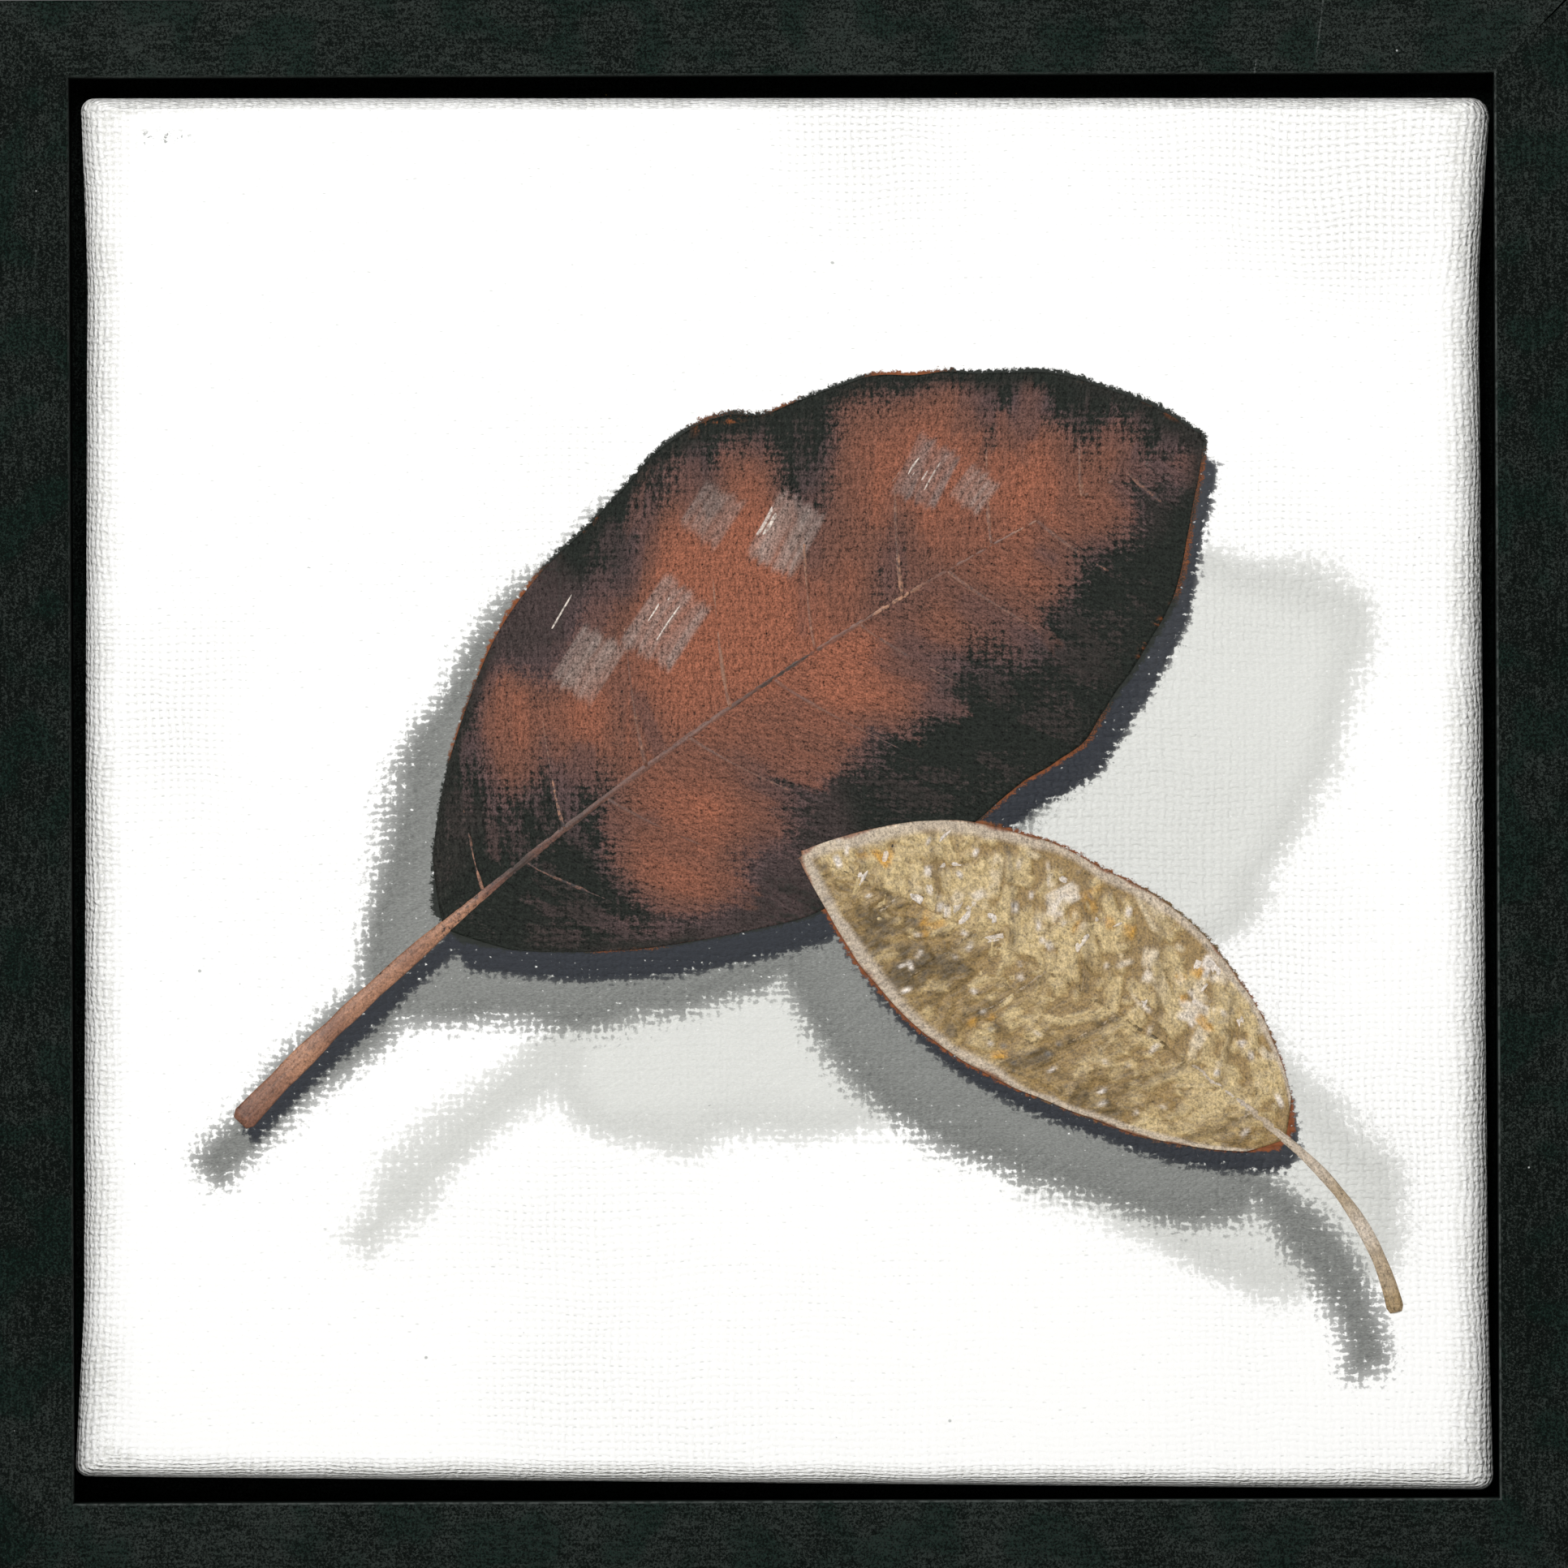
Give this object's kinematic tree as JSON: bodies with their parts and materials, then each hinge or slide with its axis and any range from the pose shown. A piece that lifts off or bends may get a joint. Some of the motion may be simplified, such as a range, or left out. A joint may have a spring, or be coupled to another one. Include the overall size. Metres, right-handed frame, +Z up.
{
  "type": "framed stretched canvas",
  "caption": "Small square stretched canvas held clear of the walls of a black floater frame, with a saw-tooth hanger and felt bumpers at the back.",
  "frame": {"origin": "on the wall's surface, at the height of the hanger's middle notch", "axes": "+Y into the wall, so the picture faces -Y; +Z up; +X to the right as the picture is looked at"},
  "size_m": [0.171, 0.0306, 0.171],
  "materials": {
    "black_paint": "matte black paint on wood",
    "canvas": "primed plain-weave cotton, painted",
    "pine": "bare planed pine",
    "steel": "zinc-plated",
    "dark_steel": "black phosphated",
    "brassed_steel": "brass-plated steel",
    "felt": "pressed felt"
  },
  "bodies": {
    "root": {"frame_rail_top": "black_paint", "frame_rail_right": "black_paint", "frame_rail_bottom": "black_paint", "frame_rail_left": "black_paint", "corner_nail_1": "steel", "corner_nail_2": "steel", "corner_nail_3": "steel", "corner_nail_4": "steel", "canvas": "canvas", "stretcher_bar_top": "pine", "stretcher_bar_right": "pine", "stretcher_bar_bottom": "pine", "stretcher_bar_left": "pine", "staple_01": "steel", "staple_02": "steel", "staple_03": "steel", "staple_04": "steel", "staple_05": "steel", "staple_06": "steel", "staple_07": "steel", "staple_08": "steel", "staple_09": "steel", "staple_10": "steel", "staple_11": "steel", "staple_12": "steel", "canvas_screw_1": "dark_steel", "canvas_screw_2": "dark_steel", "canvas_screw_3": "dark_steel", "canvas_screw_4": "dark_steel", "hanger_plate": "brassed_steel", "hanger_nail_left": "brassed_steel", "hanger_nail_right": "brassed_steel", "bumper_left": "felt", "bumper_right": "felt"}
  },
  "joints": []
}
